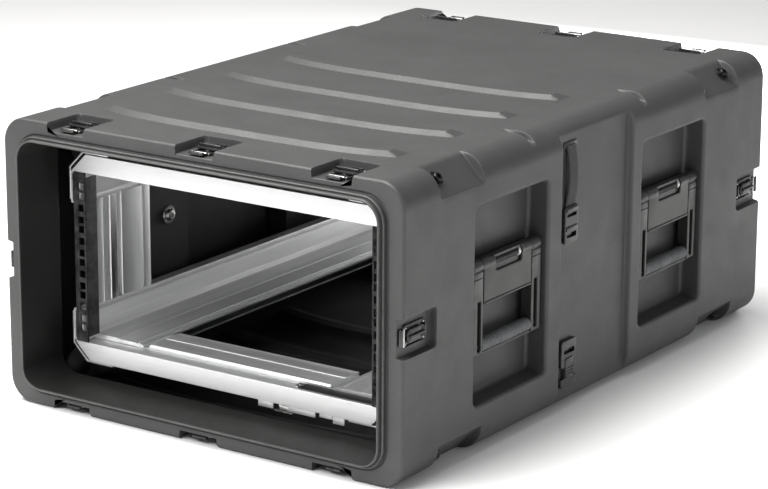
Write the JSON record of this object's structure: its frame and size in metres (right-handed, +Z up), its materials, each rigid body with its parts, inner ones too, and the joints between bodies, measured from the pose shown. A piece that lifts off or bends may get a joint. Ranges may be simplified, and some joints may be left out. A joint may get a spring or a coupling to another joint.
{
  "type": "equipment rack case",
  "caption": "Moulded shock-mount rack case open at both ends, with a sprung aluminium inner frame, rack rails, folding side handles and twist latches round both rims.",
  "frame": {"origin": "on the floor plane, under the middle of the case", "axes": "+Z up, -Y out of the front opening, +X to the right seen from the front"},
  "size_m": [0.62, 0.94, 0.388],
  "materials": {
    "shell_plastic": "satin mottled dark grey polyethylene",
    "latch_plastic": "black moulded nylon",
    "handle_plastic": "dark grey moulded nylon, satin",
    "grip_rubber": "mid grey ribbed rubber",
    "aluminium": "brushed mill finish",
    "rack_steel": "black powder coat",
    "plate_metal": "bent zinc plated steel",
    "mount_rubber": "black elastomer with a black oxide bolt",
    "webbing": "black woven nylon webbing"
  },
  "bodies": {
    "case": {"outer_shell": "shell_plastic", "crossbar_front_top": "aluminium", "crossbar_front_bottom": "aluminium", "crossbar_rear_top": "aluminium", "crossbar_rear_bottom": "aluminium", "side_rail_top_left": "aluminium", "corner_plate_top_left": "plate_metal", "side_rail_top_right": "aluminium", "corner_plate_top_right": "plate_metal", "side_rail_bottom_left": "aluminium", "corner_plate_bottom_left": "plate_metal", "side_rail_bottom_right": "aluminium", "corner_plate_bottom_right": "plate_metal", "upright_front_left": "aluminium", "rack_rail_front_left": "rack_steel", "handle_bracket_front_left": "handle_plastic", "shock_mount_front_top_left": "mount_rubber", "shock_mount_front_bottom_left": "mount_rubber", "upright_front_right": "aluminium", "rack_rail_front_right": "rack_steel", "handle_bracket_front_right": "handle_plastic", "shock_mount_front_top_right": "mount_rubber", "shock_mount_front_bottom_right": "mount_rubber", "upright_rear_left": "aluminium", "rack_rail_rear_left": "rack_steel", "handle_bracket_rear_left": "handle_plastic", "shock_mount_rear_top_left": "mount_rubber", "shock_mount_rear_bottom_left": "mount_rubber", "upright_rear_right": "aluminium", "rack_rail_rear_right": "rack_steel", "handle_bracket_rear_right": "handle_plastic", "shock_mount_rear_top_right": "mount_rubber", "shock_mount_rear_bottom_right": "mount_rubber", "strap_webbing": "webbing", "strap_upper_buckle": "latch_plastic", "strap_lower_buckle": "latch_plastic"},
    "handle_front_left": {"handle_bail_front_left": "handle_plastic", "handle_grip_front_left": "grip_rubber"},
    "handle_front_right": {"handle_bail_front_right": "handle_plastic", "handle_grip_front_right": "grip_rubber"},
    "handle_rear_left": {"handle_bail_rear_left": "handle_plastic", "handle_grip_rear_left": "grip_rubber"},
    "handle_rear_right": {"handle_bail_rear_right": "handle_plastic", "handle_grip_rear_right": "grip_rubber"},
    "wing_front_top_left": {"latch_wing_front_top_left": "latch_plastic"},
    "wing_front_top_middle": {"latch_wing_front_top_middle": "latch_plastic"},
    "wing_front_top_right": {"latch_wing_front_top_right": "latch_plastic"},
    "wing_front_bottom_left": {"latch_wing_front_bottom_left": "latch_plastic"},
    "wing_front_bottom_middle": {"latch_wing_front_bottom_middle": "latch_plastic"},
    "wing_front_bottom_right": {"latch_wing_front_bottom_right": "latch_plastic"},
    "wing_front_side_left": {"latch_wing_front_side_left": "latch_plastic"},
    "wing_front_side_right": {"latch_wing_front_side_right": "latch_plastic"},
    "wing_rear_top_left": {"latch_wing_rear_top_left": "latch_plastic"},
    "wing_rear_top_middle": {"latch_wing_rear_top_middle": "latch_plastic"},
    "wing_rear_top_right": {"latch_wing_rear_top_right": "latch_plastic"},
    "wing_rear_bottom_left": {"latch_wing_rear_bottom_left": "latch_plastic"},
    "wing_rear_bottom_middle": {"latch_wing_rear_bottom_middle": "latch_plastic"},
    "wing_rear_bottom_right": {"latch_wing_rear_bottom_right": "latch_plastic"},
    "wing_rear_side_left": {"latch_wing_rear_side_left": "latch_plastic"},
    "wing_rear_side_right": {"latch_wing_rear_side_right": "latch_plastic"}
  },
  "joints": [
    {"name": "handle_swing_front_left", "type": "hinge", "parent": "case", "child": "handle_front_left", "pos_m": [-0.2955, -0.215, 0.238], "axis": [0, 1, 0], "range_deg": [0, 90], "stiffness_Nm_per_rad": 0.4, "springref_deg": -20.05},
    {"name": "handle_swing_front_right", "type": "hinge", "parent": "case", "child": "handle_front_right", "pos_m": [0.2955, -0.215, 0.238], "axis": [0, -1, 0], "range_deg": [0, 90], "stiffness_Nm_per_rad": 0.4, "springref_deg": -20.05},
    {"name": "handle_swing_rear_left", "type": "hinge", "parent": "case", "child": "handle_rear_left", "pos_m": [-0.2955, 0.198, 0.238], "axis": [0, 1, 0], "range_deg": [0, 90], "stiffness_Nm_per_rad": 0.4, "springref_deg": -20.05},
    {"name": "handle_swing_rear_right", "type": "hinge", "parent": "case", "child": "handle_rear_right", "pos_m": [0.2955, 0.198, 0.238], "axis": [0, -1, 0], "range_deg": [0, 90], "stiffness_Nm_per_rad": 0.4, "springref_deg": -20.05},
    {"name": "twist_front_top_left", "type": "hinge", "parent": "case", "child": "wing_front_top_left", "pos_m": [-0.206, -0.4255, 0.371], "axis": [0, 0, 1], "range_deg": [0, 180]},
    {"name": "twist_front_top_middle", "type": "hinge", "parent": "case", "child": "wing_front_top_middle", "pos_m": [0, -0.4255, 0.371], "axis": [0, 0, 1], "range_deg": [0, 180]},
    {"name": "twist_front_top_right", "type": "hinge", "parent": "case", "child": "wing_front_top_right", "pos_m": [0.206, -0.4255, 0.371], "axis": [0, 0, 1], "range_deg": [0, 180]},
    {"name": "twist_front_bottom_left", "type": "hinge", "parent": "case", "child": "wing_front_bottom_left", "pos_m": [-0.206, -0.4255, 0.011], "axis": [0, 0, -1], "range_deg": [0, 180]},
    {"name": "twist_front_bottom_middle", "type": "hinge", "parent": "case", "child": "wing_front_bottom_middle", "pos_m": [0, -0.4255, 0.011], "axis": [0, 0, -1], "range_deg": [0, 180]},
    {"name": "twist_front_bottom_right", "type": "hinge", "parent": "case", "child": "wing_front_bottom_right", "pos_m": [0.206, -0.4255, 0.011], "axis": [0, 0, -1], "range_deg": [0, 180]},
    {"name": "twist_front_side_left", "type": "hinge", "parent": "case", "child": "wing_front_side_left", "pos_m": [-0.3, -0.4255, 0.191], "axis": [-1, 0, 0], "range_deg": [0, 180]},
    {"name": "twist_front_side_right", "type": "hinge", "parent": "case", "child": "wing_front_side_right", "pos_m": [0.3, -0.4255, 0.191], "axis": [1, 0, 0], "range_deg": [0, 180]},
    {"name": "twist_rear_top_left", "type": "hinge", "parent": "case", "child": "wing_rear_top_left", "pos_m": [-0.206, 0.4255, 0.371], "axis": [0, 0, 1], "range_deg": [0, 180]},
    {"name": "twist_rear_top_middle", "type": "hinge", "parent": "case", "child": "wing_rear_top_middle", "pos_m": [0, 0.4255, 0.371], "axis": [0, 0, 1], "range_deg": [0, 180]},
    {"name": "twist_rear_top_right", "type": "hinge", "parent": "case", "child": "wing_rear_top_right", "pos_m": [0.206, 0.4255, 0.371], "axis": [0, 0, 1], "range_deg": [0, 180]},
    {"name": "twist_rear_bottom_left", "type": "hinge", "parent": "case", "child": "wing_rear_bottom_left", "pos_m": [-0.206, 0.4255, 0.011], "axis": [0, 0, -1], "range_deg": [0, 180]},
    {"name": "twist_rear_bottom_middle", "type": "hinge", "parent": "case", "child": "wing_rear_bottom_middle", "pos_m": [0, 0.4255, 0.011], "axis": [0, 0, -1], "range_deg": [0, 180]},
    {"name": "twist_rear_bottom_right", "type": "hinge", "parent": "case", "child": "wing_rear_bottom_right", "pos_m": [0.206, 0.4255, 0.011], "axis": [0, 0, -1], "range_deg": [0, 180]},
    {"name": "twist_rear_side_left", "type": "hinge", "parent": "case", "child": "wing_rear_side_left", "pos_m": [-0.3, 0.4255, 0.191], "axis": [-1, 0, 0], "range_deg": [0, 180]},
    {"name": "twist_rear_side_right", "type": "hinge", "parent": "case", "child": "wing_rear_side_right", "pos_m": [0.3, 0.4255, 0.191], "axis": [1, 0, 0], "range_deg": [0, 180]}
  ]
}
